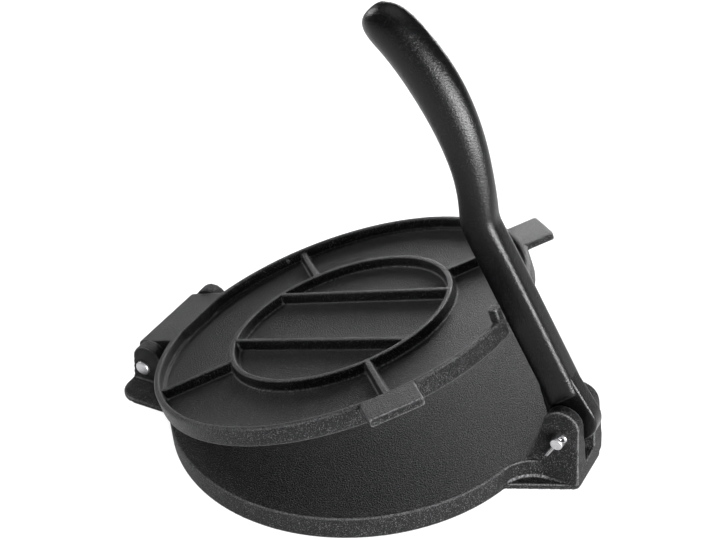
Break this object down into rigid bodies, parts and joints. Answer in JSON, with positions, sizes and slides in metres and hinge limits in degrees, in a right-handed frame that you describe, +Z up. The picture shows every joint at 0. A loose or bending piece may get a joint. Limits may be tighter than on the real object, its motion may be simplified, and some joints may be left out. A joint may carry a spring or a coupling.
{
  "type": "tortilla press",
  "caption": "Cast-iron press with a flat round base, a ribbed lid that opens on a pinned hinge, and a curved lever that swings over to squeeze the plates together.",
  "frame": {"origin": "centre of the round base plate on its underside, the plane the press stands on", "axes": "+X from the lid hinge to the lever, +Y along the hinge and lever pins, +Z up"},
  "size_m": [0.3244, 0.254, 0.2897],
  "materials": {
    "base_iron": "seasoned sand casting, satin",
    "lid_iron": "seasoned sand casting, satin",
    "lever_iron": "seasoned sand casting, satin, worn smooth at the grip",
    "pin_steel": "zinc plated",
    "split_pin_steel": "zinc plated wire"
  },
  "bodies": {
    "base": {"base_plate": "base_iron", "hinge_pin": "pin_steel", "hinge_split_pin": "split_pin_steel", "lever_pin": "pin_steel", "lever_split_pin_front": "split_pin_steel", "lever_split_pin_rear": "split_pin_steel"},
    "lid": {"lid_plate": "lid_iron"},
    "lever": {"lever_handle": "lever_iron"}
  },
  "joints": [
    {"name": "lever_pivot", "type": "hinge", "parent": "base", "child": "lever", "pos_m": [0.1485, 0, 0.036], "axis": [0, 1, 0], "range_deg": [-26, 96]},
    {"name": "lid_hinge", "type": "hinge", "parent": "base", "child": "lid", "pos_m": [-0.1465, 0, 0.0145], "axis": [0, -1, 0], "range_deg": [-17.2, 63.6]}
  ],
  "couplings": [
    {"joint": "lid_hinge", "follows": "lever_pivot", "ratio": 0.6615}
  ]
}
